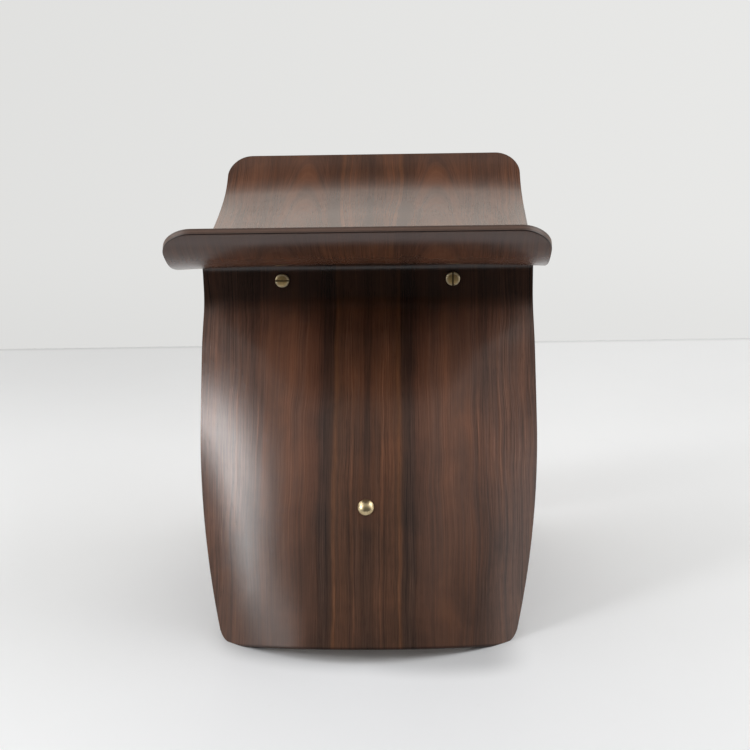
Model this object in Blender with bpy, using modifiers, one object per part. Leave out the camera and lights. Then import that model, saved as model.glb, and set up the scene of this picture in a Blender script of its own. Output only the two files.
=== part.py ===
"""Low stool of two identical moulded plywood shells set back to back.

Each shell is one sheet: an upturned seat wing, a tight bend down at the middle and a splayed leg.
Two slotted brass screws with sleeve nuts clamp the shells under the seat. A brass rod with a domed
cap nut at each end holds the legs apart. +X runs from wing to wing, +Z is up, the floor is z = 0.
Lengths are in metres and angles in degrees.
"""

import math

import bmesh
import bpy
import numpy as np
from mathutils import Matrix, Vector

# Plywood sheet
PLY = 0.007
HALF_WIDTH = 0.155
CLEARANCE = 0.0003
RIM_ROUND = 0.0012

# The sheet's direction of travel: (distance from the wing tip, degrees below level), level inwards
WING_COURSE = ((0.0, 58.0), (0.031, 36.5), (0.062, 17.7), (0.1025, 10.5), (0.1525, 7.0), (0.2012, 4.0))
BEND_RADIUS = 0.0215
JOINT_FLAT = 0.0125
# The leg leans out from upright: (distance below the joint, degrees from upright)
LEG_COURSE = ((0.030, 37.0), (0.070, 22.6), (0.350, 22.6))
# Height of the seat's upper face at the sides, this far from the middle
SEAT_X = 0.0218
SEAT_Z = 0.3296

# Crown across the sheet: how far the middle line stands off the two side edges
WING_CROWN = 0.0035
WING_CROWN_RISE = 0.110
LEG_CROWN = 0.062
LEG_CROWN_POWER = 1.94
LEG_CROWN_LENGTH = 0.340

# Outline
TIP_CORNER = 0.0255
TAPER_START = 0.130
LEG_LENGTH = 0.333
FOOT_HALF_WIDTH = 0.129
FOOT_CORNER = 0.014

# Joint screws and sleeve nuts
JOINT_Y = 0.080
HEAD_RADIUS = 0.0066
HEAD_HEIGHT = 0.0024
HEAD_ROUND = 0.0007
SLOT_WIDTH = 0.0015
SLOT_DEPTH = 0.0012
SLEEVE_RADIUS = 0.0037
SCREW_RADIUS = 0.0025

# Stretcher rod and cap nuts
ROD_Z = 0.1222
ROD_RADIUS = 0.004
ROD_END_RADIUS = 0.0025
CAP_RADIUS = 0.0072
CAP_HEIGHT = 0.0044
CAP_SKIRT = 0.0008
CAP_BORE_DEPTH = 0.0017

ROUND_STEPS = 32


def smooth_step(value):
    """0 to 1 with level ends, for arrays."""
    value = np.clip(value, 0.0, 1.0)
    return value * value * (3.0 - 2.0 * value)


def trace_sheet():
    """The sheet's middle layer seen from the side: distance, x, z and direction along one shell."""
    seat_end, last_slope = WING_COURSE[-1]
    bend_end = seat_end + BEND_RADIUS * math.radians(90.0 - last_slope)
    joint_end = bend_end + JOINT_FLAT
    course = list(WING_COURSE) + [(bend_end, 90.0), (joint_end, 90.0)]
    course += [(joint_end + distance, 90.0 + lean) for distance, lean in LEG_COURSE]
    distances, degrees = np.array(course).T
    along = np.linspace(0.0, distances[-1], 1500)
    direction = np.radians(np.interp(along, distances, degrees))
    middle = (direction[1:] + direction[:-1]) / 2.0
    x = -np.concatenate([[0.0], np.cumsum(np.cos(middle))]) * along[1]
    z = -np.concatenate([[0.0], np.cumsum(np.sin(middle))]) * along[1]
    x += CLEARANCE / 2.0 + PLY / 2.0 - np.interp(joint_end - JOINT_FLAT / 2.0, along, x)
    seat = along < seat_end
    seat_height = np.interp(SEAT_X, x[seat][::-1], z[seat][::-1])
    z += SEAT_Z - PLY / 2.0 - seat_height
    return along, x, z, direction, joint_end


ALONG, SHEET_X, SHEET_Z, DIRECTION, JOINT_END = trace_sheet()
SEAT_END = WING_COURSE[-1][0]
JOINT_Z = float(np.interp(JOINT_END - JOINT_FLAT / 2.0, ALONG, SHEET_Z))


def half_width(distance):
    """The sheet is as wide as the seat down to mid leg, then narrows to the foot."""
    below = np.clip((distance - JOINT_END - TAPER_START) / (LEG_LENGTH - TAPER_START), 0.0, 1.2)
    return HALF_WIDTH - (HALF_WIDTH - FOOT_HALF_WIDTH) * below**2


def crown(distance):
    """Height of the middle line over the side edges, along the seat's upper normal."""
    rise = smooth_step(distance / WING_CROWN_RISE)
    fall = 1.0 - smooth_step((distance - 0.12) / (SEAT_END - 0.12))
    below = np.clip((distance - JOINT_END) / LEG_CROWN_LENGTH, 0.0, 1.0)
    leg = (1.0 - (1.0 - below) ** LEG_CROWN_POWER) * smooth_step(below / 0.18)
    return WING_CROWN * rise * fall - LEG_CROWN * leg


def on_sheet(distance, y, offset=0.0):
    """A point of the sheet. offset runs towards the face that is the seat's upper face."""
    direction = np.interp(distance, ALONG, DIRECTION)
    lift = crown(distance) * (1.0 - (y / HALF_WIDTH) ** 2) + offset
    x = np.interp(distance, ALONG, SHEET_X) - math.sin(direction) * lift
    z = np.interp(distance, ALONG, SHEET_Z) + math.cos(direction) * lift
    return Vector((float(x), float(y), float(z)))


def corner_rise(edge, radius):
    """How far a rounded corner cuts back, this far (edge) from the side of the sheet."""
    inside = max(0.0, radius - edge)
    return radius - math.sqrt(max(0.0, radius**2 - inside**2))


def leg_distance(height, offset):
    """Distance along the sheet at which the middle of the leg (or of one of its faces) is this high."""
    low, high = JOINT_END, float(ALONG[-1])
    for _ in range(40):
        middle = (low + high) / 2.0
        if on_sheet(middle, 0.0, offset).z > height:
            low = middle
        else:
            high = middle
    return low


def column_positions():
    """Positions across the sheet from -1 to 1, close together where the corners are round."""
    corner = TIP_CORNER / HALF_WIDTH
    turns = np.radians(np.linspace(90.0, 0.0, 7))
    side = 1.0 - corner * (1.0 - np.sin(turns))
    middle = np.linspace(side[-1], 0.0, 5)[1:]
    half = np.concatenate([side, middle])
    return np.concatenate([-half, half[::-1][1:]])


def row_distances(across):
    """Distances along the sheet for one column, from the wing tip to the foot."""
    edge = HALF_WIDTH * (1.0 - abs(across))
    start = corner_rise(edge, TIP_CORNER)
    foot_edge = FOOT_HALF_WIDTH * (1.0 - abs(across))
    end = JOINT_END + LEG_LENGTH - corner_rise(foot_edge, FOOT_CORNER)
    foot_zone = JOINT_END + LEG_LENGTH - 0.060
    zones = (
        np.linspace(start, 0.062, 7)[:-1],
        np.linspace(0.062, SEAT_END, 6)[:-1],
        np.linspace(SEAT_END, JOINT_END - JOINT_FLAT, 8)[:-1],
        np.linspace(JOINT_END - JOINT_FLAT, JOINT_END, 3)[:-1],
        np.linspace(JOINT_END, JOINT_END + 0.070, 7)[:-1],
        np.linspace(JOINT_END + 0.070, foot_zone, 9)[:-1],
        np.linspace(foot_zone, end, 6),
    )
    return np.concatenate(zones)


def clear_scene():
    for obj in list(bpy.data.objects):
        bpy.data.objects.remove(obj, do_unlink=True)


def make_collection(name):
    collection = bpy.data.collections.new(name)
    bpy.context.scene.collection.children.link(collection)
    return collection


def make_material(name, colour, roughness, metallic):
    material = bpy.data.materials.new(name)
    material.use_nodes = True
    shader = material.node_tree.nodes["Principled BSDF"]
    shader.inputs["Base Color"].default_value = (*colour, 1.0)
    shader.inputs["Roughness"].default_value = roughness
    shader.inputs["Metallic"].default_value = metallic
    return material


def veneer_material(name):
    return make_material(name, (0.118, 0.057, 0.038), 0.34, 0.0)


def brass_material(name):
    return make_material(name, (0.70, 0.56, 0.30), 0.24, 1.0)


def add_object(name, mesh, collection, material=None):
    obj = bpy.data.objects.new(name, mesh)
    collection.objects.link(obj)
    if material:
        mesh.materials.append(material)
    return obj


def add_cutter(name, bm, collection):
    """A hidden solid for a Boolean."""
    mesh = bpy.data.meshes.new(name)
    bm.to_mesh(mesh)
    bm.free()
    cutter = add_object(name, mesh, collection)
    cutter.hide_render = True
    cutter.display_type = "WIRE"
    return cutter


def box_cutter(name, size, centre, collection):
    bm = bmesh.new()
    scale = Matrix.Diagonal((*size, 1.0))
    bmesh.ops.create_cube(bm, size=1.0, matrix=Matrix.Translation(centre) @ scale)
    return add_cutter(name, bm, collection)


def bar_cutter(name, radius, start_x, end_x, y, z, collection):
    """A round bar along X."""
    bm = bmesh.new()
    place = Matrix.Translation(((start_x + end_x) / 2.0, y, z)) @ Matrix.Rotation(math.pi / 2.0, 4, "Y")
    bmesh.ops.create_cone(
        bm,
        cap_ends=True,
        segments=ROUND_STEPS,
        radius1=radius,
        radius2=radius,
        depth=end_x - start_x,
        matrix=place,
    )
    return add_cutter(name, bm, collection)


def cut(obj, cutter):
    boolean = obj.modifiers.new("cut_" + cutter.name, "BOOLEAN")
    boolean.operation = "DIFFERENCE"
    boolean.solver = "EXACT"
    boolean.object = cutter


def arc(centre_r, centre_z, radius, first, last, steps):
    """Points of a profile arc, (radius, height), between two angles measured up from level."""
    angles = np.radians(np.linspace(first, last, steps + 1))
    return [(centre_r + radius * math.cos(a), centre_z + radius * math.sin(a)) for a in angles]


def turned_object(name, profile, collection, material):
    """A round piece turned about its own Z axis from a profile that runs down its outer side."""
    bm = bmesh.new()
    points = [bm.verts.new((radius, 0.0, height)) for radius, height in profile]
    for upper, lower in zip(points, points[1:]):
        bm.edges.new((upper, lower))
    mesh = bpy.data.meshes.new(name)
    bm.to_mesh(mesh)
    bm.free()
    obj = add_object(name, mesh, collection, material)
    screw = obj.modifiers.new("turn", "SCREW")
    screw.axis = "Z"
    screw.steps = ROUND_STEPS
    screw.render_steps = ROUND_STEPS
    screw.use_merge_vertices = True
    screw.merge_threshold = 0.00001
    return obj


def make_shell_mesh():
    """The sheet's middle layer as an open surface, for Solidify."""
    columns = column_positions()
    rows = [row_distances(across) for across in columns]
    last_column = len(columns) - 1
    last_row = len(rows[0]) - 1
    bm = bmesh.new()
    bmesh.ops.create_grid(bm, x_segments=last_row, y_segments=last_column, size=1.0)
    for vert in bm.verts:
        row = round((vert.co.x + 1.0) / 2.0 * last_row)
        column = round((vert.co.y + 1.0) / 2.0 * last_column)
        distance = rows[column][row]
        y = columns[column] * half_width(distance)
        vert.co = on_sheet(distance, y)
    mesh = bpy.data.meshes.new("shell_sheet")
    bm.to_mesh(mesh)
    bm.free()
    mesh.shade_smooth()
    return mesh


def make_shells(parts, cutters):
    """Two identical shells, the second turned half round about Z."""
    mesh = make_shell_mesh()
    drills = [
        bar_cutter(f"joint_drill_{i}", SLEEVE_RADIUS + CLEARANCE, -0.015, 0.015, y, JOINT_Z, cutters)
        for i, y in enumerate((JOINT_Y, -JOINT_Y))
    ]
    drills.append(bar_cutter("rod_drill", ROD_END_RADIUS + CLEARANCE, -0.2, 0.2, 0.0, ROD_Z, cutters))
    drills.append(box_cutter("floor_trim", (0.6, 0.5, 0.06), (0.0, 0.0, -0.03), cutters))
    for name, turn in (("shell_front", math.pi), ("shell_back", 0.0)):
        shell = bpy.data.objects.new(name, mesh.copy())
        parts.objects.link(shell)
        shell.data.materials.append(veneer_material(name))
        shell.rotation_euler.z = turn
        thicken = shell.modifiers.new("ply", "SOLIDIFY")
        thicken.thickness = PLY
        thicken.offset = 0.0
        thicken.use_even_offset = True
        soften = shell.modifiers.new("rim", "BEVEL")
        soften.width = RIM_ROUND
        soften.segments = 2
        soften.limit_method = "ANGLE"
        soften.angle_limit = math.radians(50.0)
        for drill in drills:
            cut(shell, drill)


def head_profile():
    """A slotted head's outer side, from its middle down to its bearing face at z = 0."""
    rim = arc(HEAD_RADIUS - HEAD_ROUND, HEAD_HEIGHT - HEAD_ROUND, HEAD_ROUND, 90.0, 0.0, 3)
    return [(0.0, HEAD_HEIGHT), *rim, (HEAD_RADIUS, 0.0)]


def make_joint_fasteners(parts, cutters):
    """Two slotted screws, each with a slotted sleeve nut on the far side."""
    face = CLEARANCE / 2.0 + PLY + CLEARANCE
    screw_profile = [*head_profile(), (SCREW_RADIUS, 0.0), (SCREW_RADIUS, -0.0138), (0.0, -0.0138)]
    bore = SCREW_RADIUS + CLEARANCE
    sleeve_profile = [
        *head_profile(),
        (SLEEVE_RADIUS, 0.0),
        (SLEEVE_RADIUS, -2.0 * face + 0.0005),
        (bore, -2.0 * face + 0.0005),
        (bore, -0.0006),
        (0.0, -0.0006),
    ]
    for number, y in ((1, JOINT_Y), (2, -JOINT_Y)):
        level_slot = number == 1
        for kind, profile, side in (("screw", screw_profile, -1.0), ("sleeve_nut", sleeve_profile, 1.0)):
            name = f"joint_{kind}_{number}"
            piece = turned_object(name, profile, parts, brass_material(name))
            piece.rotation_euler.y = side * math.pi / 2.0
            piece.location = (side * face, y, JOINT_Z)
            length, height = (0.02, SLOT_WIDTH) if level_slot else (SLOT_WIDTH, 0.02)
            centre = (side * (face + HEAD_HEIGHT), y, JOINT_Z)
            slot = box_cutter(name + "_slot", (2.0 * SLOT_DEPTH, length, height), centre, cutters)
            cut(piece, slot)
            finish_round(piece)


def finish_round(piece):
    piece.data.shade_smooth()
    for modifier in piece.modifiers:
        if modifier.type == "SCREW":
            modifier.use_smooth_shade = True


def leg_face_point(height, offset):
    """Middle of the leg's face at this height, and the face's lean from upright."""
    distance = leg_distance(height, offset)
    above = on_sheet(distance - 0.001, 0.0, offset)
    below = on_sheet(distance + 0.001, 0.0, offset)
    lean = math.atan2(below.x - above.x, above.z - below.z)
    return on_sheet(distance, 0.0, offset), lean


def make_stretcher(parts):
    """The rod: a full-size shank between the legs and a thinner threaded end through each leg."""
    inner, _ = leg_face_point(ROD_Z + ROD_RADIUS, PLY / 2.0)
    outer, lean = leg_face_point(ROD_Z, -PLY / 2.0)
    shank_end = inner.x - CLEARANCE
    rod_end = outer.x + CAP_BORE_DEPTH - CLEARANCE
    profile = [
        (0.0, rod_end),
        (ROD_END_RADIUS, rod_end),
        (ROD_END_RADIUS, shank_end),
        (ROD_RADIUS, shank_end),
        (ROD_RADIUS, -shank_end),
        (ROD_END_RADIUS, -shank_end),
        (ROD_END_RADIUS, -rod_end),
        (0.0, -rod_end),
    ]
    rod = turned_object("stretcher_rod", profile, parts, brass_material("stretcher_rod"))
    rod.rotation_euler.y = math.pi / 2.0
    rod.location = (0.0, 0.0, ROD_Z)
    finish_round(rod)
    return outer, lean


def make_cap_nuts(parts, cutters, outer, lean):
    """A domed nut on each leg's outer face. Its back lies along the leg and its bore follows the rod."""
    dome_height = CAP_HEIGHT - CAP_SKIRT
    dome_radius = (CAP_RADIUS**2 + dome_height**2) / (2.0 * dome_height)
    rim_angle = math.degrees(math.asin((dome_radius - dome_height) / dome_radius))
    dome = arc(0.0, CAP_HEIGHT - dome_radius, dome_radius, 90.0, rim_angle, 8)
    profile = [(0.0, CAP_HEIGHT), *dome[1:-1], (CAP_RADIUS, CAP_SKIRT), (CAP_RADIUS, 0.0), (0.0, 0.0)]
    for name, side in (("cap_nut_front", -1.0), ("cap_nut_back", 1.0)):
        cap = turned_object(name, profile, parts, brass_material(name))
        cap.rotation_euler.y = side * (math.pi / 2.0 - lean)
        away = Vector((side * math.cos(lean), 0.0, math.sin(lean)))
        cap.location = Vector((side * outer.x, 0.0, ROD_Z)) + away * CLEARANCE
        bore_end = side * (outer.x + CAP_BORE_DEPTH)
        start, end = sorted((bore_end, side * (outer.x - 0.02)))
        bore = bar_cutter(name + "_bore", ROD_END_RADIUS + CLEARANCE, start, end, 0.0, ROD_Z, cutters)
        cut(cap, bore)
        finish_round(cap)


def main():
    clear_scene()
    parts = make_collection("plywood_stool")
    cutters = make_collection("cutters")
    make_shells(parts, cutters)
    make_joint_fasteners(parts, cutters)
    outer, lean = make_stretcher(parts)
    make_cap_nuts(parts, cutters, outer, lean)


main()
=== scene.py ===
"""Visual model of a low stool made of two identical moulded plywood shells, in a plain pale studio.

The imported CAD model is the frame. The two shells are rebuilt with a finer surface, rounded rims and a
book-matched striped veneer; the brass screws, rod and cap nuts are rebuilt as finely turned pieces.
Lengths are in metres and angles in degrees. +X runs from wing to wing and +Z is up.
"""

import math

import bmesh
import bpy
import numpy as np
from mathutils import Matrix, Vector


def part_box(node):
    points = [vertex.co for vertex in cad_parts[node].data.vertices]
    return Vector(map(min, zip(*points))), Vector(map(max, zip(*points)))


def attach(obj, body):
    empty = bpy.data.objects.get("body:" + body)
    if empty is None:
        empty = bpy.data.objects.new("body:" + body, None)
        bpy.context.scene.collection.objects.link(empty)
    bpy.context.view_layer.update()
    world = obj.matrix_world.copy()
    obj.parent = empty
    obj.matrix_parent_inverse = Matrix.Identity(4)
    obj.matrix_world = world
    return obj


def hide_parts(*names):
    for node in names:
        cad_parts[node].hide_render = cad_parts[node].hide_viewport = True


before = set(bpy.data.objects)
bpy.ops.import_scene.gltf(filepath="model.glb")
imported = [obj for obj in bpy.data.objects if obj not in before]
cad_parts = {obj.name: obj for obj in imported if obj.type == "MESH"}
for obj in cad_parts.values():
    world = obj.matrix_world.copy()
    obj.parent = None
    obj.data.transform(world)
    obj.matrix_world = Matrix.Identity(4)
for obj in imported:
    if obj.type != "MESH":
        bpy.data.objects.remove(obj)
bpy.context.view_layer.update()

# ---------------------------------------------------------------- sizes, as in the CAD model

PLY = 0.007
HALF_WIDTH = 0.155
CLEARANCE = 0.0003
WING_COURSE = ((0.0, 58.0), (0.031, 36.5), (0.062, 17.7), (0.1025, 10.5), (0.1525, 7.0), (0.2012, 4.0))
BEND_RADIUS = 0.0215
JOINT_FLAT = 0.0125
LEG_COURSE = ((0.030, 37.0), (0.070, 22.6), (0.350, 22.6))
SEAT_X = 0.0218
SEAT_Z = 0.3296
WING_CROWN = 0.0035
WING_CROWN_RISE = 0.110
WING_CROWN_FALL = 0.12
LEG_CROWN = 0.062
LEG_CROWN_POWER = 1.94
LEG_CROWN_LENGTH = 0.340
LEG_CROWN_EASE = 0.18
TIP_CORNER = 0.0255
TAPER_START = 0.130
LEG_LENGTH = 0.333
FOOT_HALF_WIDTH = 0.129
FOOT_CORNER = 0.014

# the rounded rim, and what is trimmed off so that the shells stay inside their CAD boxes
RIM_ROUND = 0.0008
TIP_TRIM = 0.00045
SIDE_TRIM = 0.0003

# fineness of the meshes, and the distance at which points are one
TRACE_POINTS = 3000
SHEET_COLUMNS = 72
RIM_STEPS = 4
WELD = 0.000002

# ---------------------------------------------------------------- the sheet's shape


def smooth_step(value):
    value = np.clip(value, 0.0, 1.0)
    return value * value * (3.0 - 2.0 * value)


def trace_sheet():
    """The sheet's middle layer seen from the side: distance, x, z and direction along one shell."""
    seat_end, last_slope = WING_COURSE[-1]
    bend_end = seat_end + BEND_RADIUS * math.radians(90.0 - last_slope)
    joint_end = bend_end + JOINT_FLAT
    course = list(WING_COURSE) + [(bend_end, 90.0), (joint_end, 90.0)]
    course += [(joint_end + distance, 90.0 + lean) for distance, lean in LEG_COURSE]
    distances, degrees = np.array(course).T
    along = np.linspace(0.0, distances[-1], TRACE_POINTS)
    direction = np.radians(np.interp(along, distances, degrees))
    middle = (direction[1:] + direction[:-1]) / 2.0
    x = -np.concatenate([[0.0], np.cumsum(np.cos(middle))]) * along[1]
    z = -np.concatenate([[0.0], np.cumsum(np.sin(middle))]) * along[1]
    x += CLEARANCE / 2.0 + PLY / 2.0 - np.interp(joint_end - JOINT_FLAT / 2.0, along, x)
    seat = along < seat_end
    z += SEAT_Z - PLY / 2.0 - np.interp(SEAT_X, x[seat][::-1], z[seat][::-1])
    return along, x, z, direction, joint_end


ALONG, SHEET_X, SHEET_Z, DIRECTION, JOINT_END = trace_sheet()
SEAT_END = WING_COURSE[-1][0]


def half_width(distance):
    below = np.clip((distance - JOINT_END - TAPER_START) / (LEG_LENGTH - TAPER_START), 0.0, 1.2)
    return HALF_WIDTH - (HALF_WIDTH - FOOT_HALF_WIDTH) * below**2


def crown(distance):
    rise = smooth_step(distance / WING_CROWN_RISE)
    fall = 1.0 - smooth_step((distance - WING_CROWN_FALL) / (SEAT_END - WING_CROWN_FALL))
    below = np.clip((distance - JOINT_END) / LEG_CROWN_LENGTH, 0.0, 1.0)
    leg = (1.0 - (1.0 - below) ** LEG_CROWN_POWER) * smooth_step(below / LEG_CROWN_EASE)
    return WING_CROWN * rise * fall - LEG_CROWN * leg


def sheet_points(distance, y):
    """Points of the sheet's middle layer, for arrays of distance and y."""
    direction = np.interp(distance, ALONG, DIRECTION)
    lift = crown(distance) * (1.0 - (y / HALF_WIDTH) ** 2)
    x = np.interp(distance, ALONG, SHEET_X) - np.sin(direction) * lift
    z = np.interp(distance, ALONG, SHEET_Z) + np.cos(direction) * lift
    return np.stack([x, y, z], axis=-1)


def sheet_normals(distance, y):
    """Normals of the sheet, on the side of the seat's upper face."""
    step = 0.0005
    along = sheet_points(distance + step, y) - sheet_points(distance - step, y)
    across = sheet_points(distance, y + step) - sheet_points(distance, y - step)
    normal = np.cross(across, along)
    return normal / np.linalg.norm(normal, axis=-1, keepdims=True)


def corner_rise(edge, radius):
    inside = np.clip(radius - edge, 0.0, radius)
    return radius - np.sqrt(radius**2 - inside**2)


def sheet_grid():
    """Distance and y of every grid point: rows run from wing tip to foot, columns across."""
    turn = np.radians(np.linspace(90.0, 0.0, 13))
    side = 1.0 - TIP_CORNER / HALF_WIDTH * (1.0 - np.sin(turn))
    middle = np.linspace(side[-1], 0.0, SHEET_COLUMNS // 2 - 11)[1:]
    half = np.concatenate([side, middle])
    across = np.concatenate([-half, half[::-1][1:]])
    start = TIP_TRIM + corner_rise(HALF_WIDTH * (1.0 - np.abs(across)), TIP_CORNER)
    end = JOINT_END + LEG_LENGTH - corner_rise(FOOT_HALF_WIDTH * (1.0 - np.abs(across)), FOOT_CORNER)
    tip_zone = 0.062
    curve_end = JOINT_END + 0.080
    foot_zone = JOINT_END + LEG_LENGTH - 0.060
    body = np.concatenate(
        [
            np.linspace(tip_zone, SEAT_END, 40)[:-1],
            np.linspace(SEAT_END, JOINT_END, 34)[:-1],
            np.linspace(JOINT_END, curve_end, 34)[:-1],
            np.linspace(curve_end, foot_zone, 56),
        ]
    )
    tip_rows = start + np.linspace(0.0, 1.0, 25)[:-1, None] * (tip_zone - start)
    foot_rows = foot_zone + np.linspace(0.0, 1.0, 25)[1:, None] * (end - foot_zone)
    distance = np.concatenate([tip_rows, np.repeat(body[:, None], len(across), axis=1), foot_rows])
    return distance, across[None, :] * (half_width(distance) - SIDE_TRIM)


def boundary_ring(rows, columns):
    """Grid indexes of the outline, in order round the sheet."""
    ring = [(0, c) for c in range(columns)]
    ring += [(r, columns - 1) for r in range(1, rows)]
    ring += [(rows - 1, c) for c in range(columns - 2, -1, -1)]
    ring += [(r, 0) for r in range(rows - 2, 0, -1)]
    return ring


def rim_profile():
    """Offsets over the sheet's edge, (outwards, along the normal), from the upper face to the lower."""
    half = PLY / 2.0
    turn = np.radians(np.linspace(0.0, 90.0, RIM_STEPS + 1))
    upper = [(RIM_ROUND * (math.sin(a) - 1.0), half - RIM_ROUND * (1.0 - math.cos(a))) for a in turn]
    flat = [(0.0, h) for h in np.linspace(half - RIM_ROUND, -(half - RIM_ROUND), 7)[1:-1]]
    lower = [(outward, -height) for outward, height in reversed(upper)]
    return upper + flat + lower


def cut_at_floor(verts, sheet):
    """Draws the points that would be under the floor back along the sheet, up to the floor."""
    below = verts[:, 2] < 0.0
    y, distance = sheet[below, 0], sheet[below, 1]
    along = sheet_points(distance, y) - sheet_points(distance - 0.002, y)
    verts[below] -= along * (verts[below, 2] / along[:, 2])[:, None]
    verts[below, 2] = 0.0
    return verts


def shell_mesh(name):
    """One closed shell with its sheet coordinates: x across, y along the grain, z through the ply."""
    distance, y = sheet_grid()
    rows, columns = distance.shape
    point = sheet_points(distance, y)
    normal = sheet_normals(distance, y)
    ring = boundary_ring(rows, columns)
    ring_row, ring_column = np.array(ring).T
    edge_point = point[ring_row, ring_column]
    edge_normal = normal[ring_row, ring_column]
    tangent = np.roll(edge_point, -1, axis=0) - np.roll(edge_point, 1, axis=0)
    outward = np.cross(tangent, edge_normal)
    outward /= np.linalg.norm(outward, axis=1, keepdims=True)
    middle = point[rows // 2, columns // 2]
    if np.sum(outward * (edge_point - middle)) < 0.0:
        outward = -outward

    profile = rim_profile()
    verts = []
    sheet = []
    layers = {}
    for side, height in ((0, PLY / 2.0), (1, -PLY / 2.0)):
        face = point + normal * height
        face[ring_row, ring_column] -= outward * RIM_ROUND
        layers[side] = len(verts)
        verts.extend(face.reshape(-1, 3))
        flat = np.stack([y, distance, np.full_like(y, height)], axis=-1)
        sheet.extend(flat.reshape(-1, 3))
    rings = [[layers[0] + r * columns + c for r, c in ring]]
    for out, height in profile[1:-1]:
        rings.append(list(range(len(verts), len(verts) + len(ring))))
        verts.extend(edge_point + outward * out + edge_normal * height)
        flat = np.stack([y[ring_row, ring_column], distance[ring_row, ring_column]], axis=-1)
        sheet.extend(np.column_stack([flat, np.full(len(ring), height)]))
    rings.append([layers[1] + r * columns + c for r, c in ring])

    faces = []
    slots = []
    for side, base in layers.items():
        for r in range(rows - 1):
            for c in range(columns - 1):
                a = base + r * columns + c
                quad = (a, a + 1, a + columns + 1, a + columns)
                faces.append(quad if side else quad[::-1])
                slots.append(0)
    count = len(ring)
    for level in range(len(rings) - 1):
        upper, lower = rings[level], rings[level + 1]
        on_face = level in (0, len(rings) - 2)
        for i in range(count):
            j = (i + 1) % count
            faces.append((upper[i], upper[j], lower[j], lower[i]))
            slots.append(0 if on_face else 1)

    verts = cut_at_floor(np.array(verts), np.array(sheet))
    mesh = bpy.data.meshes.new(name)
    mesh.from_pydata(verts.tolist(), [], faces)
    mesh.polygons.foreach_set("material_index", slots)
    coordinate = mesh.attributes.new("sheet", "FLOAT_VECTOR", "POINT")
    coordinate.data.foreach_set("vector", np.array(sheet, dtype=np.float32).ravel())
    clean(mesh)
    mesh.shade_smooth()
    mesh.set_sharp_from_angle(angle=math.radians(40.0))
    return mesh


# ---------------------------------------------------------------- material helpers


def new_material(name):
    material = bpy.data.materials.new(name)
    material.use_nodes = True
    tree = material.node_tree
    return material, tree, tree.nodes["Principled BSDF"]


def node(tree, kind, inputs=None, **settings):
    """A node with its settings, and its inputs either linked or set."""
    made = tree.nodes.new(kind)
    for key, value in settings.items():
        setattr(made, key, value)
    for key, value in (inputs or {}).items():
        connect(tree, value, made.inputs[key])
    return made


def connect(tree, value, socket):
    if isinstance(value, bpy.types.NodeSocket):
        tree.links.new(value, socket)
    else:
        socket.default_value = value


def calc(tree, operation, first, second=0.0, third=0.0):
    values = {0: first, 1: second, 2: third}
    return node(tree, "ShaderNodeMath", values, operation=operation).outputs[0]


def plus(tree, first, second):
    return calc(tree, "ADD", first, second)


def minus(tree, first, second):
    return calc(tree, "SUBTRACT", first, second)


def times(tree, first, *others):
    for other in others:
        first = calc(tree, "MULTIPLY", first, other)
    return first


def vector(tree, x, y, z):
    return node(tree, "ShaderNodeCombineXYZ", {0: x, 1: y, 2: z}).outputs[0]


def stretched(tree, source, scale, offset=(0.0, 0.0, 0.0)):
    values = {"Vector": source, "Location": offset, "Scale": scale}
    return node(tree, "ShaderNodeMapping", values).outputs[0]


def noise(tree, source, scale=1.0, detail=3.0, roughness=0.5, distortion=0.0):
    values = {
        "Vector": source,
        "Scale": scale,
        "Detail": detail,
        "Roughness": roughness,
        "Distortion": distortion,
    }
    return node(tree, "ShaderNodeTexNoise", values).outputs["Fac"]


def remap(tree, value, low, high, to_low=0.0, to_high=1.0, smooth=False):
    values = {"Value": value, "From Min": low, "From Max": high, "To Min": to_low, "To Max": to_high}
    kind = "SMOOTHSTEP" if smooth else "LINEAR"
    return node(tree, "ShaderNodeMapRange", values, interpolation_type=kind).outputs["Result"]


def colour_ramp(tree, value, stops):
    made = node(tree, "ShaderNodeValToRGB", {"Fac": value})
    elements = made.color_ramp.elements
    made.color_ramp.interpolation = "B_SPLINE"
    while len(elements) < len(stops):
        elements.new(1.0)
    for element, (position, colour) in zip(elements, stops):
        element.position = position
        element.color = colour
    return made.outputs["Color"]


def mix(tree, amount, first, second, blend="MIX"):
    made = node(tree, "ShaderNodeMix", {0: amount, 6: first, 7: second}, data_type="RGBA", blend_type=blend)
    return made.outputs[2]


def bump(tree, height, distance, strength=1.0):
    values = {"Height": height, "Distance": distance, "Strength": strength}
    return node(tree, "ShaderNodeBump", values).outputs["Normal"]


def srgb(red, green, blue):
    """A colour written as 0 to 255, made linear, with full alpha."""
    linear = [((value / 255.0 + 0.055) / 1.055) ** 2.4 for value in (red, green, blue)]
    return (*linear, 1.0)


def darken(tree, colour, shade):
    """A colour multiplied by one value."""
    return mix(tree, 1.0, colour, vector(tree, shade, shade, shade), "MULTIPLY")


def scaled(colour, red, green, blue):
    return (colour[0] * red, colour[1] * green, colour[2] * blue, 1.0)


# ---------------------------------------------------------------- materials

# where the leaves meet, and the flames: the middle of each, where it starts, how fast it closes, its width
SEAM = 0.001
HEART = 0.066
FLAME_START = 0.170
FLAME_CLOSE = 0.17
FLAME_WIDTH = 0.034

# streaks of the veneer: about how many per metre across the grain, and per metre along it
BROAD_STREAKS = (190.0, 1.8)
MIDDLE_STREAKS = (430.0, 5.0)
FINE_LINES = (1000.0, 9.0)
LINE_GROUPS = (70.0, 4.0)
FIBRES = (2600.0, 22.0)
PORES = (3000.0, 80.0)
FIGURE = (30.0, 14.0)
SLOW_DRIFT = (8.0, 5.0)
OWN_DRIFT = (11.0, 8.0)
WAVER = (45.0, 28.0)
FLAT_SAWN = 0.072

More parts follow.
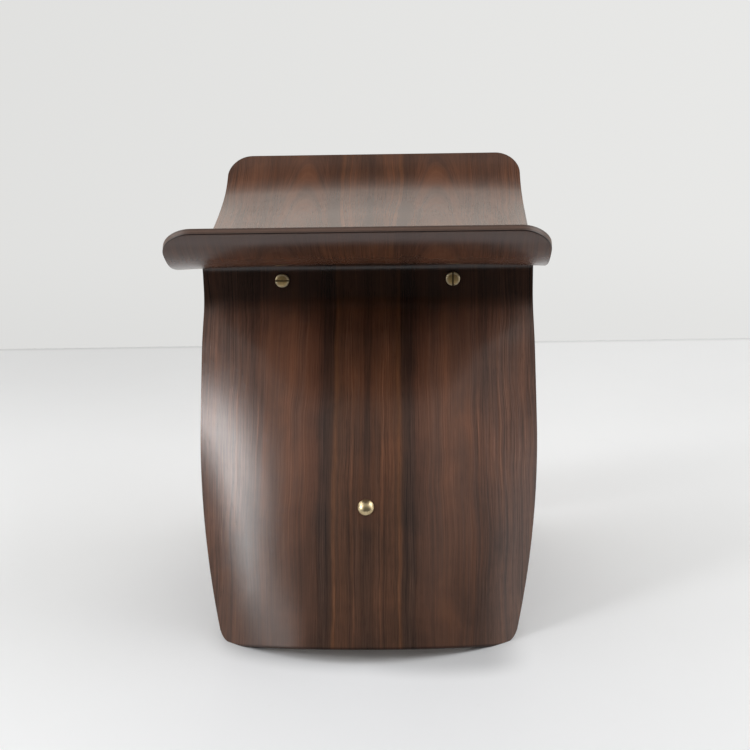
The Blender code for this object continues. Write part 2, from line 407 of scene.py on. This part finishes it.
# tone of the veneer by distance from the seam, in metres
VENEER_ZONES = (
    (0.0000, (80, 54, 42)),
    (0.0030, (82, 55, 43)),
    (0.0065, (97, 65, 49)),
    (0.0150, (100, 66, 49)),
    (0.0230, (103, 68, 50)),
    (0.0266, (111, 73, 51)),
    (0.0284, (110, 73, 51)),
    (0.0305, (68, 48, 40)),
    (0.0390, (72, 50, 41)),
    (0.0460, (92, 61, 48)),
    (0.0600, (111, 76, 60)),
    (0.0850, (112, 77, 61)),
    (0.0980, (102, 70, 56)),
    (0.1030, (86, 61, 51)),
    (0.1080, (104, 72, 58)),
    (0.1250, (109, 77, 63)),
    (0.1550, (101, 72, 60)),
)
PLAIN_TONE = (101, 69, 54)
FOOT_TONE = (90, 74, 66)


def veneer_coordinates(tree, seed):
    """Book-matched leaves: the sheet's own coordinates, distance from the seam and the flame's rings."""
    sheet = node(tree, "ShaderNodeAttribute", attribute_name="sheet").outputs["Vector"]
    split = node(tree, "ShaderNodeSeparateXYZ", {0: sheet})
    across, along = split.outputs[0], split.outputs[1]
    face = calc(tree, "MULTIPLY_ADD", calc(tree, "GREATER_THAN", split.outputs[2], 0.0), 5.0, seed)
    leaf = calc(tree, "ABSOLUTE", minus(tree, across, SEAM))
    slow = streaks(tree, leaf, along, face, SLOW_DRIFT, 2.0, 0.5)
    own = streaks(tree, across, along, plus(tree, face, 2.5), OWN_DRIFT, 2.0, 0.5)
    waver = streaks(tree, across, along, face, WAVER, 2.0, 0.5)
    drift = plus(
        tree,
        calc(tree, "MULTIPLY_ADD", slow, 0.018, -0.009),
        calc(tree, "MULTIPLY_ADD", own, 0.008, -0.004),
    )
    settled = times(tree, drift, remap(tree, leaf, 0.0, 0.02))
    settled = plus(tree, settled, calc(tree, "MULTIPLY_ADD", waver, 0.0022, -0.0011))
    place = plus(tree, leaf, settled)
    from_heart = minus(tree, place, HEART)
    closing = calc(tree, "MAXIMUM", minus(tree, FLAME_START, along), 0.0)
    closing = times(tree, closing, FLAME_CLOSE)
    squares = plus(tree, calc(tree, "POWER", from_heart, 2.0), calc(tree, "POWER", closing, 2.0))
    rings = calc(tree, "SQRT", squares)
    aside = calc(tree, "ABSOLUTE", from_heart)
    near_heart = remap(tree, aside, FLAME_WIDTH, FLAME_WIDTH * 0.5, smooth=True)
    flame = times(tree, near_heart, remap(tree, along, 0.22, 0.15, smooth=True))
    return sheet, across, along, face, place, rings, flame


def streaks(tree, place, along, face, rate, detail=3.0, roughness=0.6):
    """Lines along the grain: rate is how many per metre across it and per metre along it."""
    source = vector(tree, times(tree, place, rate[0]), times(tree, along, rate[1]), face)
    return noise(tree, source, 1.0, detail, roughness)


def veneer_tone(tree, place, leg, wing):
    """The plain colour of the veneer's zones, before its streaks."""
    reach = VENEER_ZONES[-1][0]
    stops = [(distance / reach, srgb(*colour)) for distance, colour in VENEER_ZONES]
    base = colour_ramp(tree, calc(tree, "DIVIDE", place, reach), stops)
    # the zones fade on the wing, and towards the foot
    base = mix(tree, times(tree, wing, 0.50), base, srgb(*PLAIN_TONE))
    return mix(tree, remap(tree, leg, 0.16, 0.30, 0.0, 0.30, smooth=True), base, srgb(*FOOT_TONE))


def painted_leg_shading(tree, leg):
    """Painted light and shade: the leg is painted palest a third of the way down, and darker towards the
    foot.
    """
    rising = remap(tree, leg, 0.030, 0.110, 0.0, 1.0, smooth=True)
    pale = times(tree, rising, remap(tree, leg, 0.14, 0.25, 0.34, 0.0, smooth=True))
    pale = minus(tree, pale, remap(tree, leg, 0.20, 0.29, 0.0, 0.10, smooth=True))
    return plus(tree, pale, 1.0)


def edge_tones(tree, colour, side, along, leg):
    """Darker on the foot's last millimetres, and a painted reflection: the underside of the wing's tip
    painted a paler grey.
    """
    # the foot's last millimetres are darker
    foot_edge_dark = remap(tree, leg, LEG_LENGTH - 0.0030, LEG_LENGTH - 0.0010, 1.0, 0.42, smooth=True)
    colour = darken(tree, colour, foot_edge_dark)
    # painted reflection: the underside of the wing's tip is painted paler, where the lit floor would be
    # mirrored
    near_tip = remap(tree, along, 0.008, 0.018, 0.55, 0.0, smooth=True)
    painted_tip_reflection = times(tree, calc(tree, "LESS_THAN", side, 0.0), near_tip)
    return mix(tree, painted_tip_reflection, colour, srgb(112, 92, 86))


def veneer_material(name, seed):
    """Dark brown striped veneer under satin lacquer."""
    material, tree, shader = new_material(name)
    sheet, across, along, face, place, rings, flame = veneer_coordinates(tree, seed)
    side = node(tree, "ShaderNodeSeparateXYZ", {0: sheet}).outputs[2]
    leg = minus(tree, along, JOINT_END)
    wing = remap(tree, leg, -0.070, 0.010, 1.0, 0.0, smooth=True)

    def flamed(rate, detail=3.0):
        """Streaks that run straight, except in the flames, where they follow the rings."""
        straight = streaks(tree, place, along, face, rate, detail)
        curved = streaks(tree, rings, along, plus(tree, face, 3.0), rate, detail)
        straight = times(tree, straight, minus(tree, 1.0, flame))
        return plus(tree, straight, times(tree, curved, flame))

    broad = flamed(BROAD_STREAKS)
    middle = streaks(tree, place, along, plus(tree, face, 9.0), MIDDLE_STREAKS)
    lines = flamed(FINE_LINES, 4.0)
    groups = streaks(tree, place, along, plus(tree, face, 12.0), LINE_GROUPS, 2.0)
    fibre = streaks(tree, across, along, face, FIBRES)
    pores = remap(tree, streaks(tree, across, along, face, PORES, 1.0), 0.60, 0.70)
    swirl = vector(tree, times(tree, across, FIGURE[0]), times(tree, along, FIGURE[1]), face)
    figure = noise(tree, swirl, 1.0, 3.0, 0.55, 0.5)

    # the middle and the outer edge show their lines, the flat-sawn part between them is quiet
    aside = calc(tree, "ABSOLUTE", minus(tree, place, FLAT_SAWN))
    quiet = remap(tree, aside, 0.018, 0.034, 0.55, 1.0, smooth=True)
    quiet = times(tree, quiet, calc(tree, "MULTIPLY_ADD", wing, -0.35, 1.0))
    gather = times(tree, quiet, remap(tree, groups, 0.35, 0.62, 0.25, 1.40))

    def shade_of(value, depth, strength):
        spread = times(tree, minus(tree, value, 0.5), times(tree, strength, depth))
        return plus(tree, spread, 1.0)

    shade = times(
        tree,
        shade_of(broad, 1.0, quiet),
        shade_of(lines, 1.9, gather),
        shade_of(middle, 1.0, gather),
        shade_of(fibre, 1.5, quiet),
        remap(tree, figure, 0.25, 0.75, 0.78, 1.18),
        minus(tree, 1.0, times(tree, pores, times(tree, quiet, 0.38))),
    )
    flame_line = minus(tree, remap(tree, broad, 0.38, 0.46, 0.91, 1.0, smooth=True), 1.0)
    # the flames' lines, and the painted light and shade down the leg
    shade = times(tree, shade, plus(tree, times(tree, flame, flame_line), 1.0), painted_leg_shading(tree, leg))
    # painted shade: darker where the sheet is bent, at the top of the leg under the wing and in the seat's
    # crease
    from_bend = calc(tree, "ABSOLUTE", minus(tree, along, JOINT_END - 0.004))
    shade = times(tree, shade, remap(tree, from_bend, 0.012, 0.040, 0.32, 1.0, smooth=True))

    warmth = calc(tree, "MULTIPLY_ADD", minus(tree, figure, 0.5), 0.6, broad)
    tint = mix(tree, remap(tree, warmth, 0.35, 0.65), srgb(236, 243, 250), srgb(255, 247, 237))
    colour = mix(tree, 1.0, veneer_tone(tree, place, leg, wing), tint, "MULTIPLY")
    colour = darken(tree, colour, shade)
    tree.links.new(edge_tones(tree, colour, side, along, leg), shader.inputs["Base Color"])

    smudge = noise(tree, stretched(tree, sheet, (16.0, 9.0, 1.0), (0.0, 0.0, seed)), 1.0, 3.0, 0.6)
    rough = remap(tree, smudge, 0.3, 0.7, 0.20, 0.25)
    rough = calc(tree, "MULTIPLY_ADD", lines, 0.05, minus(tree, rough, 0.025))
    tree.links.new(rough, shader.inputs["Roughness"])
    height = calc(tree, "MULTIPLY_ADD", fibre, 0.35, times(tree, lines, 0.45))
    height = minus(tree, height, times(tree, pores, 0.5))
    tree.links.new(bump(tree, height, 0.00005, 0.4), shader.inputs["Normal"])
    shader.inputs["IOR"].default_value = 1.5
    return material


# thickness of one dark and one pale layer of the ply together
VENEER_PAIR = 0.0022


def ply_edge_material(name, seed):
    """The stained edge of the plywood: thin layers, and a dark band next to each face."""
    material, tree, shader = new_material(name)
    sheet = node(tree, "ShaderNodeAttribute", attribute_name="sheet").outputs["Vector"]
    split = node(tree, "ShaderNodeSeparateXYZ", {0: sheet})
    depth = calc(tree, "ABSOLUTE", split.outputs[2])
    grain = noise(tree, stretched(tree, sheet, (420.0, 420.0, 2600.0), (seed, 0.0, 0.0)), 1.0, 3.0, 0.6)
    blotch = noise(tree, stretched(tree, sheet, (40.0, 40.0, 500.0), (seed, 3.0, 0.0)), 1.0, 3.0, 0.6)
    wobble = calc(tree, "MULTIPLY_ADD", blotch, 0.0003, -0.00015)
    layer = calc(tree, "SINE", times(tree, plus(tree, depth, wobble), 2.0 * math.pi / VENEER_PAIR))
    layer = remap(tree, layer, -0.5, 0.5, 0.0, 1.0, smooth=True)
    colour = mix(tree, layer, srgb(77, 57, 49), srgb(98, 74, 63))
    near_face = remap(tree, depth, PLY / 2.0 - 0.0011, PLY / 2.0 - 0.0007, 0.0, 1.0, smooth=True)
    colour = mix(tree, near_face, colour, srgb(42, 28, 23))
    shade = remap(tree, grain, 0.25, 0.75, 0.80, 1.18)
    shade = times(tree, shade, remap(tree, blotch, 0.25, 0.75, 0.88, 1.10))
    tree.links.new(darken(tree, colour, shade), shader.inputs["Base Color"])
    tree.links.new(remap(tree, grain, 0.3, 0.7, 0.36, 0.50), shader.inputs["Roughness"])
    height = calc(tree, "MULTIPLY_ADD", grain, 0.6, times(tree, layer, 0.4))
    tree.links.new(bump(tree, height, 0.00010, 0.6), shader.inputs["Normal"])
    shader.inputs["IOR"].default_value = 1.5
    return material


def head_patina(tree, patina, split, radius):
    """A screw head: a brighter rim and a browner face."""
    face = remap(tree, split.outputs[0], radius * 0.84, radius * 0.66, 0.0, 1.0, smooth=True)
    bright_rim = mix(tree, 1.0, patina, (1.14, 1.14, 1.14, 1.0), "MULTIPLY")
    return mix(tree, face, bright_rim, mix(tree, 1.0, patina, (0.92, 0.80, 0.58, 1.0), "MULTIPLY"))


# lathe lines on the brass, about how many per metre
LATHE_LINES = 9000.0


def brass_material(name, seed, colour, rough, head=None):
    """Turned brass with a slightly uneven patina and fine lathe lines round its axis."""
    material, tree, shader = new_material(name)
    turned = node(tree, "ShaderNodeAttribute", attribute_name="turned").outputs["Vector"]
    split = node(tree, "ShaderNodeSeparateXYZ", {0: turned})
    radius, height = split.outputs[0], split.outputs[2]
    tarnish = noise(tree, stretched(tree, turned, (160.0, 0.7, 160.0), (seed, 0.0, 0.0)), 1.0, 4.0, 0.6)
    spots = noise(tree, stretched(tree, turned, (1500.0, 4.0, 1500.0), (0.0, seed, 0.0)), 1.0, 2.0, 0.5)
    grooves = vector(tree, times(tree, radius, LATHE_LINES), times(tree, height, LATHE_LINES), seed)
    lathe = noise(tree, grooves, 1.0, 2.0)
    patina = mix(tree, remap(tree, tarnish, 0.35, 0.68), colour, scaled(colour, 0.80, 0.76, 0.66))
    patina = mix(tree, remap(tree, spots, 0.62, 0.76, 0.0, 0.28), patina, scaled(colour, 0.5, 0.5, 0.5))
    if head:
        patina = head_patina(tree, patina, split, head)
    tree.links.new(patina, shader.inputs["Base Color"])
    shader.inputs["Metallic"].default_value = 1.0
    roughness = calc(tree, "MULTIPLY_ADD", tarnish, 0.16, rough - 0.08)
    roughness = calc(tree, "MULTIPLY_ADD", lathe, 0.06, minus(tree, roughness, 0.03))
    tree.links.new(roughness, shader.inputs["Roughness"])
    tree.links.new(bump(tree, lathe, 0.00002, 0.35), shader.inputs["Normal"])
    return material


# the floor, and its far edge as a line: its x in the middle, and how much x changes per metre of y
FLOOR_CORNERS = ((-0.42, -4.0), (0.916, -4.0), (0.767, 4.0), (-0.42, 4.0))
FLOOR_EDGE = 0.8416
FLOOR_EDGE_SLOPE = -0.0186


def painted_floor_shade(tree, x, y):
    """Painted shade: the floor is painted darker towards the backdrop, more on the left, with a thin
    painted shadow line where it ends.
    """
    edge = calc(tree, "MULTIPLY_ADD", y, FLOOR_EDGE_SLOPE, FLOOR_EDGE)
    painted_edge_shadow = remap(tree, minus(tree, edge, x), 0.004, 0.016, 0.84, 1.0, smooth=True)
    left = remap(tree, y, -0.2, 0.5, 0.40, 1.0, smooth=True)
    depth = times(tree, remap(tree, x, 0.0, 0.75, 0.0, 0.20, smooth=True), left)
    return times(tree, painted_edge_shadow, minus(tree, 1.0, depth))


# how far the feet stand from the middle of the stool
FOOT_REACH = 0.188


def painted_foot_shadow(tree, x, y):
    """Painted shadow: the floor is painted a little grey along the near foot, which bows forward, and wider
    on the right.
    """
    bow = times(tree, y, y, 2.0)
    foot = minus(tree, plus(tree, x, FOOT_REACH), bow)
    foot = calc(tree, "MULTIPLY_ADD", calc(tree, "MINIMUM", y, 0.0), -0.25, foot)
    front = remap(tree, foot, -0.034, 0.002, 0.0, 0.30, smooth=True)
    behind = remap(tree, foot, 0.05, 0.10, 1.0, 0.0)
    sides = remap(tree, calc(tree, "ABSOLUTE", y), 0.15, 0.10, 0.0, 1.0, smooth=True)
    return times(tree, front, behind, sides)


def floor_material():
    """Pale painted studio floor with faint scuffs, painted shade towards the backdrop and a painted shadow
    along the near foot.
    """
    material, tree, shader = new_material("studio_floor")
    place = node(tree, "ShaderNodeTexCoord").outputs["Object"]
    cloud = noise(tree, place, 1.6, 4.0, 0.6)
    scuff = noise(tree, stretched(tree, place, (9.0, 22.0, 1.0)), 1.0, 6.0, 0.7, 0.8)
    tone = remap(tree, cloud, 0.3, 0.7, 0.0, 1.0)
    colour = mix(tree, tone, (0.91, 0.925, 0.95, 1.0), (0.94, 0.955, 0.98, 1.0))
    colour = mix(tree, remap(tree, scuff, 0.66, 0.76, 0.0, 0.25), colour, (0.80, 0.80, 0.79, 1.0))
    split = node(tree, "ShaderNodeSeparateXYZ", {0: place})
    x, y = split.outputs[0], split.outputs[1]
    # painted shade towards the backdrop, and the painted shadow along the near foot
    shade = times(tree, painted_floor_shade(tree, x, y), minus(tree, 1.0, painted_foot_shadow(tree, x, y)))
    tree.links.new(darken(tree, colour, shade), shader.inputs["Base Color"])
    tree.links.new(remap(tree, cloud, 0.3, 0.7, 0.45, 0.55), shader.inputs["Roughness"])
    shader.inputs["Specular IOR Level"].default_value = 0.1
    return material


# ---------------------------------------------------------------- turned brass


def turned_mesh(name, profile, steps=96):
    """A round piece about Z from a profile (radius, height)."""
    bm = bmesh.new()
    rings = []
    for radius, height in profile:
        if radius < 1e-7:
            rings.append([bm.verts.new((0.0, 0.0, height))])
            continue
        ring = []
        for i in range(steps):
            a = 2.0 * math.pi * i / steps
            ring.append(bm.verts.new((radius * math.cos(a), radius * math.sin(a), height)))
        rings.append(ring)
    for upper, lower in zip(rings, rings[1:]):
        for i in range(steps):
            j = (i + 1) % steps
            if len(upper) == 1:
                bm.faces.new((upper[0], lower[i], lower[j]))
            elif len(lower) == 1:
                bm.faces.new((upper[i], lower[0], upper[j]))
            else:
                bm.faces.new((upper[i], lower[i], lower[j], upper[j]))
    bmesh.ops.recalc_face_normals(bm, faces=bm.faces)
    mesh = bpy.data.meshes.new(name)
    bm.to_mesh(mesh)
    bm.free()
    return mesh


def store_turned(mesh):
    """Keeps each point's radius, angle and height about the piece's own axis for the brass material."""
    co = np.empty(len(mesh.vertices) * 3, np.float32)
    mesh.vertices.foreach_get("co", co)
    co = co.reshape(-1, 3)
    radius = np.hypot(co[:, 0], co[:, 1])
    angle = np.arctan2(co[:, 1], co[:, 0])
    values = np.stack([radius, np.abs(angle), co[:, 2]], axis=-1).astype(np.float32)
    coordinate = mesh.attributes.new("turned", "FLOAT_VECTOR", "POINT")
    coordinate.data.foreach_set("vector", values.ravel())


def arc(centre_r, centre_z, radius, first, last, steps):
    angles = np.radians(np.linspace(first, last, steps + 1))
    return [(centre_r + radius * math.cos(a), centre_z + radius * math.sin(a)) for a in angles]


def add_piece(name, mesh, material, matrix, *nodes):
    piece = bpy.data.objects.new(name, mesh)
    bpy.context.scene.collection.objects.link(piece)
    piece.matrix_world = matrix
    mesh.materials.append(material)
    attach(piece, "root")
    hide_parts(*nodes)
    return piece


def cut_slot(mesh, width, depth, top):
    """Cuts a screwdriver slot across a head whose face is at height top."""
    head = bpy.data.objects.new("slot_head", mesh)
    bm = bmesh.new()
    bmesh.ops.create_cube(bm, size=1.0)
    bmesh.ops.scale(bm, vec=(width, 0.03, 2.0 * depth), verts=bm.verts)
    bmesh.ops.translate(bm, vec=(0.0, 0.0, top), verts=bm.verts)
    cutter_mesh = bpy.data.meshes.new("slot_cutter")
    bm.to_mesh(cutter_mesh)
    bm.free()
    cutter = bpy.data.objects.new("slot_cutter", cutter_mesh)
    for obj in (head, cutter):
        bpy.context.scene.collection.objects.link(obj)
    boolean = head.modifiers.new("slot", "BOOLEAN")
    boolean.object = cutter
    boolean.solver = "EXACT"
    graph = bpy.context.evaluated_depsgraph_get()
    result = bpy.data.meshes.new_from_object(head.evaluated_get(graph))
    result.name = mesh.name + "_slotted"
    for obj in (head, cutter):
        bpy.data.objects.remove(obj, do_unlink=True)
    clean(result)
    return result


def clean(mesh):
    """Welds points that fall together and drops the faces that this leaves without area."""
    bm = bmesh.new()
    bm.from_mesh(mesh)
    bmesh.ops.remove_doubles(bm, verts=bm.verts, dist=WELD)
    bmesh.ops.dissolve_degenerate(bm, edges=bm.edges, dist=WELD)
    bmesh.ops.recalc_face_normals(bm, faces=bm.faces)
    bm.to_mesh(mesh)
    bm.free()


# ---------------------------------------------------------------- building the object


def make_shells():
    """The two shells from one mesh each, the front one turned round."""
    for index, (cad_name, turn) in enumerate((("shell_front", 180.0), ("shell_back", 0.0))):
        mesh = shell_mesh(cad_name + "_veneered")
        add_piece(
            cad_name + "_veneered",
            mesh,
            veneer_material(cad_name + "_veneer", 11.0 + 6.0 * index),
            Matrix.Rotation(math.radians(turn), 4, "Z"),
            cad_name,
        )
        mesh.materials.append(ply_edge_material(cad_name + "_edge", 3.0 + 5.0 * index))


def axis_matrix(origin, axis, spin=0.0):
    """Puts a piece's own Z on an axis through origin, spun about it."""
    turn = Vector((0.0, 0.0, 1.0)).rotation_difference(Vector(axis)).to_matrix().to_4x4()
    return Matrix.Translation(origin) @ turn @ Matrix.Rotation(math.radians(spin), 4, "Z")


# shank radius and length of the two kinds of fastener
SHANKS = {"screw": (0.0025, 0.0138), "sleeve_nut": (0.0037, 0.0142)}
HEAD_COLOUR = (0.84, 0.71, 0.48, 1.0)
# painted shade: the dark brass given to the slots' floors and walls
PAINTED_SLOT_SHADE = (0.20, 0.15, 0.085, 1.0)
SLOT_WIDTH = 0.0015
SLOT_DEPTH = 0.0012


def make_fasteners():
    """Slotted heads on both sides of the joint, with their shanks inside the ply."""
    for number, spin in ((1, 0.0), (2, 90.0)):
        for kind, side in (("screw", -1.0), ("sleeve_nut", 1.0)):
            cad_name = f"joint_{kind}_{number}"
            low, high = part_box(cad_name)
            y = (low[1] + high[1]) / 2.0
            z = (low[2] + high[2]) / 2.0
            radius = (high[1] - low[1]) / 2.0
            face = CLEARANCE / 2.0 + PLY
            top = (high[0] if side > 0.0 else -low[0]) - face
            shank, reach = SHANKS[kind]
            rim = arc(radius - 0.0010, top - 0.0010, 0.0010, 90.0, 0.0, 8)
            ring = [(radius * 0.80, top), (radius * 0.78, top - 0.00006), (radius * 0.76, top)]
            profile = [(0.0, top), *reversed(ring), *rim, (radius, 0.0003), (radius - 0.0003, 0.0)]
            profile += [(shank, 0.0), (shank, -reach), (0.0, -reach)]
            mesh = cut_slot(turned_mesh(cad_name + "_turned", profile), SLOT_WIDTH, SLOT_DEPTH, top)
            store_turned(mesh)
            mesh.shade_smooth()
            mesh.set_sharp_from_angle(angle=math.radians(35.0))
            seed = number + side
            brass = brass_material(cad_name + "_brass", 2.0 + seed, HEAD_COLOUR, 0.42, radius)
            place = axis_matrix((side * face, y, z), (side, 0.0, 0.0), spin)
            add_piece(cad_name + "_turned", mesh, brass, place, cad_name)
            # painted shade: the slot's floor and walls get the dark brass
            mesh.materials.append(brass_material(cad_name + "_slot", 4.0 + seed, PAINTED_SLOT_SHADE, 0.60))
            for polygon in mesh.polygons:
                inside = math.hypot(polygon.center.x, polygon.center.y) < radius - 0.0006
                polygon.material_index = int(inside and 0.0 < polygon.center.z < top - 0.00025)


def leg_lean():
    """Where the rod meets the leg's outer face, x and z, and how far the leg leans there."""
    low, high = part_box("stretcher_rod")
    z = (low[2] + high[2]) / 2.0
    distance = np.linspace(JOINT_END, JOINT_END + LEG_LENGTH, 400)
    outer = sheet_points(distance, 0.0 * distance) - sheet_normals(distance, 0.0 * distance) * PLY / 2.0
    x = np.interp(-z, -outer[:, 2], outer[:, 0])
    x_above = np.interp(-(z + 0.001), -outer[:, 2], outer[:, 0])
    x_below = np.interp(-(z - 0.001), -outer[:, 2], outer[:, 0])
    return x, z, math.atan2(x_below - x_above, 0.002)


ROD_COLOUR = (0.78, 0.64, 0.40, 1.0)
ROD_END_RADIUS = 0.0025
CAP_RADIUS = 0.0072
CAP_HEIGHT = 0.0044
CAP_SKIRT = 0.0006
CAP_CHAMFER = 0.00015


def domed_cap():
    """Profile of a cap nut: a dome over a short upright skirt."""
    dome_height = CAP_HEIGHT - CAP_SKIRT
    dome_radius = (CAP_RADIUS**2 + dome_height**2) / (2.0 * dome_height)
    rim_angle = math.degrees(math.asin((dome_radius - dome_height) / dome_radius))
    dome = arc(0.0, CAP_HEIGHT - dome_radius, dome_radius, 90.0, rim_angle, 28)
    skirt = [(CAP_RADIUS, CAP_SKIRT), (CAP_RADIUS, CAP_CHAMFER), (CAP_RADIUS - CAP_CHAMFER, 0.0)]
    return [(0.0, CAP_HEIGHT), *dome[1:-1], *skirt, (0.0, 0.0)]


def make_stretcher():
    """The brass rod and the domed cap nut on each leg."""
    x, z, lean = leg_lean()
    low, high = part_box("stretcher_rod")
    radius = (high[1] - low[1]) / 2.0
    half = high[0]
    shoulder = x - PLY / math.cos(lean) + 0.004
    end = [(0.0, half), (ROD_END_RADIUS, half), (ROD_END_RADIUS, shoulder), (radius, shoulder)]
    profile = end + [(out, -height) for out, height in reversed(end)]
    rod = turned_mesh("stretcher_rod_turned", profile)
    store_turned(rod)
    rod.shade_smooth()
    rod.set_sharp_from_angle(angle=math.radians(35.0))
    brass = brass_material("stretcher_brass", 5.0, ROD_COLOUR, 0.28)
    level = axis_matrix((0.0, 0.0, z), (1.0, 0.0, 0.0))
    add_piece("stretcher_rod_turned", rod, brass, level, "stretcher_rod")
    cap_profile = domed_cap()
    for cad_name, side in (("cap_nut_front", -1.0), ("cap_nut_back", 1.0)):
        mesh = turned_mesh(cad_name + "_turned", cap_profile)
        store_turned(mesh)
        mesh.shade_smooth()
        mesh.set_sharp_from_angle(angle=math.radians(50.0))
        away = (side * math.cos(lean), 0.0, math.sin(lean))
        origin = Vector((side * x, 0.0, z)) + Vector(away) * 0.0001
        brass = brass_material(cad_name + "_brass", 8.0 + side, ROD_COLOUR, 0.37)
        add_piece(cad_name + "_turned", mesh, brass, axis_matrix(origin, away), cad_name)


# ---------------------------------------------------------------- studio


def make_floor():
    """A pale floor that ends where the plain backdrop begins, and short of the camera."""
    bm = bmesh.new()
    verts = [bm.verts.new((x, y, 0.0)) for x, y in FLOOR_CORNERS]
    bm.faces.new(verts)
    mesh = bpy.data.meshes.new("studio_floor")
    bm.to_mesh(mesh)
    bm.free()
    floor = bpy.data.objects.new("studio_floor", mesh)
    bpy.context.scene.collection.objects.link(floor)
    floor.data.materials.append(floor_material())


def make_world():
    """Pale backdrop for the camera, with painted shade: a little darker towards +Y and just above the
    floor; for the light, pale above and behind the stool, darker in front.
    """
    world = bpy.data.worlds.new("studio")
    bpy.context.scene.world = world
    world.use_nodes = True
    tree = world.node_tree
    tree.nodes.clear()
    direction = node(tree, "ShaderNodeTexCoord").outputs["Generated"]
    split = node(tree, "ShaderNodeSeparateXYZ", {0: direction})
    x, y, z = split.outputs
    # painted shade on the backdrop: darker towards +Y, and darker just above the floor, where the wall
    # meets it
    side = remap(tree, y, -0.35, 0.35, 0.82, 0.745)
    side = times(tree, side, remap(tree, z, -0.275, -0.18, 0.955, 1.0, smooth=True))
    seen = vector(tree, side, side, times(tree, side, 0.985))
    behind = remap(tree, x, 0.06, 0.92, 0.0, 1.0, smooth=True)
    rise = remap(tree, z, 0.0, 0.60, 0.75, 1.45, smooth=True)
    overhead = remap(tree, z, 0.60, 0.95, 1.0, 0.72, smooth=True)
    lit = times(tree, behind, rise, overhead)
    ahead = remap(tree, x, 0.15, -0.45, 0.0, 1.0, smooth=True)
    above = remap(tree, z, 0.20, 0.80, 0.0, DOME, smooth=True)
    lit = plus(tree, lit, calc(tree, "MULTIPLY_ADD", ahead, above, 0.04))
    warm = vector(tree, times(tree, lit, 1.03), lit, times(tree, lit, 0.93))
    camera = node(tree, "ShaderNodeLightPath").outputs["Is Camera Ray"]
    shown = node(tree, "ShaderNodeBackground", {"Color": seen, "Strength": 1.0})
    light = node(tree, "ShaderNodeBackground", {"Color": warm, "Strength": 1.0})
    both = node(tree, "ShaderNodeMixShader", {0: camera, 1: light.outputs[0], 2: shown.outputs[0]})
    node(tree, "ShaderNodeOutputWorld", {"Surface": both.outputs[0]})


# brightness of the world in front of the stool, high up
DOME = 0.22

# soft boxes: name, azimuth, elevation, distance, size and power
LIGHT_TARGET = Vector((0.0, 0.0, 0.18))
LIGHTS = (
    ("key_left", 64.0, 15.0, 2.4, (0.26, 0.66), 8.8),
    ("key_upper", 61.0, 28.0, 2.4, (0.40, 0.70), 10.2),
    ("low_left", 50.0, 8.0, 2.4, (0.80, 0.40), 2.8),
    ("side_left", 96.0, 44.0, 2.6, (1.60, 1.60), 18.5),
    ("side_right", 264.0, 44.0, 2.6, (1.60, 1.60), 24.5),
    ("fill_right", 283.0, 19.0, 2.6, (1.50, 2.60), 12.8),
    ("high_right", 306.0, 38.0, 2.6, (2.20, 2.00), 4.0),
    ("high_left", 40.0, 46.0, 2.6, (1.80, 1.60), 1.6),
    ("front", 0.0, 62.0, 2.6, (3.00, 1.60), 1.8),
)


def area_light(name, azimuth, elevation, distance, size, power):
    """A soft box seen from the target at an azimuth from -X towards +Y, and an elevation."""
    a, e = math.radians(azimuth), math.radians(elevation)
    away = Vector((-math.cos(a) * math.cos(e), math.sin(a) * math.cos(e), math.sin(e)))
    lamp = bpy.data.lights.new(name, "AREA")
    lamp.shape = "RECTANGLE"
    lamp.size, lamp.size_y = size
    lamp.energy = power
    obj = bpy.data.objects.new(name, lamp)
    bpy.context.scene.collection.objects.link(obj)
    obj.location = LIGHT_TARGET + away * distance
    obj.rotation_mode = "QUATERNION"
    obj.rotation_quaternion = away.to_track_quat("Z", "Y")


def make_lights():
    for light in LIGHTS:
        area_light(*light)


# the camera: place, then downward pitch, yaw and roll in radians, and the lens in millimetres
CAMERA_PLACE = (-1.2708, -0.0557, 0.5873)
CAMERA_TURN = (0.2938, 0.0394, 0.0203)
CAMERA_LENS = 66.3
CAMERA_SHIFT = -0.0008


def make_camera():
    """End on to the wings, a little above, turned and tilted a little."""
    pitch, yaw, roll = CAMERA_TURN
    forward = Vector((math.cos(pitch) * math.cos(yaw), math.cos(pitch) * math.sin(yaw), -math.sin(pitch)))
    right = Vector((math.sin(yaw), -math.cos(yaw), 0.0))
    up = right.cross(forward)
    right, up = (
        right * math.cos(roll) - up * math.sin(roll),
        up * math.cos(roll) + right * math.sin(roll),
    )
    camera = bpy.data.cameras.new("camera")
    camera.sensor_width = 36.0
    camera.lens = CAMERA_LENS
    camera.shift_x = CAMERA_SHIFT
    obj = bpy.data.objects.new("camera", camera)
    bpy.context.scene.collection.objects.link(obj)
    turn = Matrix((right, up, -forward)).transposed().to_4x4()
    obj.matrix_world = Matrix.Translation(CAMERA_PLACE) @ turn
    bpy.context.scene.camera = obj


def main():
    make_shells()
    make_fasteners()
    make_stretcher()
    make_floor()
    make_world()
    make_lights()
    make_camera()
    bpy.context.scene.view_settings.view_transform = "Standard"


main()
